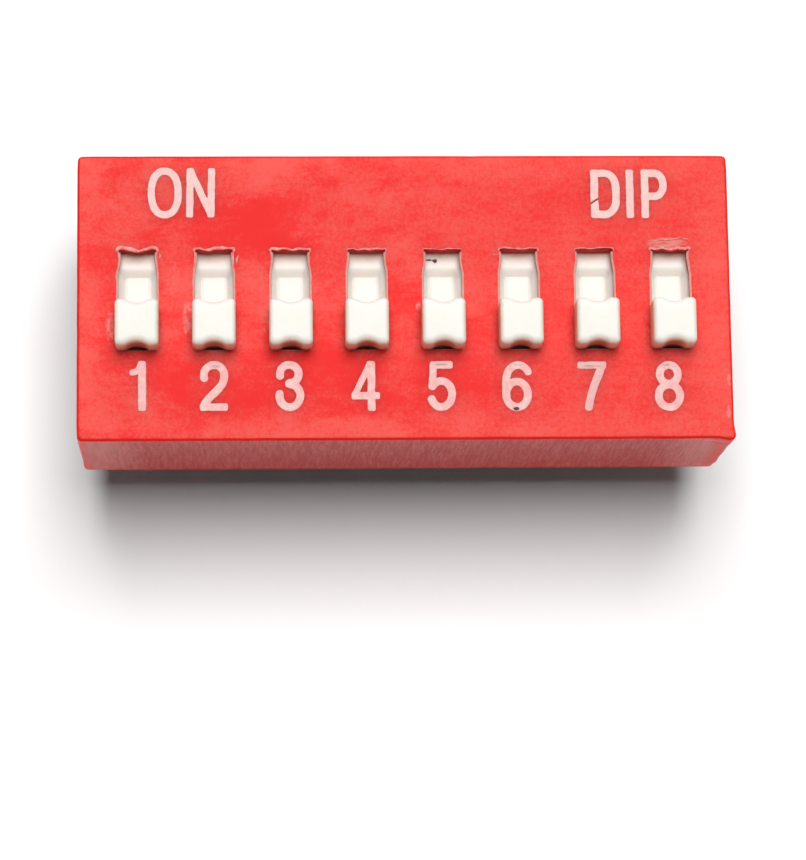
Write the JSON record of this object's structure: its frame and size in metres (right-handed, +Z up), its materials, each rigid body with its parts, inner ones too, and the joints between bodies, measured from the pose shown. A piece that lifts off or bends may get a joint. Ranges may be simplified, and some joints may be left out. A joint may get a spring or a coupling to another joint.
{
  "type": "dip switch",
  "caption": "Red slide DIP switch with a row of raised ivory actuators in windows, numbered positions and two rows of through-hole pins.",
  "frame": {"origin": "centre of the underside of the body, where it sits on the circuit board", "axes": "+X along the row from position 1 to position 8, +Y towards ON, +Z up out of the board"},
  "size_m": [0.0218, 0.0098, 0.01],
  "materials": {
    "cover_plastic": "satin moulded red, a little scuffed",
    "base_plastic": "matt moulded black",
    "slider_plastic": "smooth moulded ivory",
    "contact_metal": "gold-plated spring strip",
    "terminal_metal": "tin-plated stamped strip"
  },
  "bodies": {
    "housing": {"cover": "cover_plastic", "base": "base_plastic", "front_terminal_1": "terminal_metal", "front_terminal_2": "terminal_metal", "front_terminal_3": "terminal_metal", "front_terminal_4": "terminal_metal", "front_terminal_5": "terminal_metal", "front_terminal_6": "terminal_metal", "front_terminal_7": "terminal_metal", "front_terminal_8": "terminal_metal", "back_terminal_1": "terminal_metal", "back_terminal_2": "terminal_metal", "back_terminal_3": "terminal_metal", "back_terminal_4": "terminal_metal", "back_terminal_5": "terminal_metal", "back_terminal_6": "terminal_metal", "back_terminal_7": "terminal_metal", "back_terminal_8": "terminal_metal"},
    "actuator_1": {"slider_1": "slider_plastic", "contact_1": "contact_metal"},
    "actuator_2": {"slider_2": "slider_plastic", "contact_2": "contact_metal"},
    "actuator_3": {"slider_3": "slider_plastic", "contact_3": "contact_metal"},
    "actuator_4": {"slider_4": "slider_plastic", "contact_4": "contact_metal"},
    "actuator_5": {"slider_5": "slider_plastic", "contact_5": "contact_metal"},
    "actuator_6": {"slider_6": "slider_plastic", "contact_6": "contact_metal"},
    "actuator_7": {"slider_7": "slider_plastic", "contact_7": "contact_metal"},
    "actuator_8": {"slider_8": "slider_plastic", "contact_8": "contact_metal"}
  },
  "joints": [
    {"name": "slide_1", "type": "slide", "parent": "housing", "child": "actuator_1", "axis": [0, 1, 0], "range_m": [0, 0.0019]},
    {"name": "slide_2", "type": "slide", "parent": "housing", "child": "actuator_2", "axis": [0, 1, 0], "range_m": [0, 0.0019]},
    {"name": "slide_3", "type": "slide", "parent": "housing", "child": "actuator_3", "axis": [0, 1, 0], "range_m": [0, 0.0019]},
    {"name": "slide_4", "type": "slide", "parent": "housing", "child": "actuator_4", "axis": [0, 1, 0], "range_m": [0, 0.0019]},
    {"name": "slide_5", "type": "slide", "parent": "housing", "child": "actuator_5", "axis": [0, 1, 0], "range_m": [0, 0.0019]},
    {"name": "slide_6", "type": "slide", "parent": "housing", "child": "actuator_6", "axis": [0, 1, 0], "range_m": [0, 0.0019]},
    {"name": "slide_7", "type": "slide", "parent": "housing", "child": "actuator_7", "axis": [0, 1, 0], "range_m": [0, 0.0019]},
    {"name": "slide_8", "type": "slide", "parent": "housing", "child": "actuator_8", "axis": [0, 1, 0], "range_m": [0, 0.0019]}
  ]
}
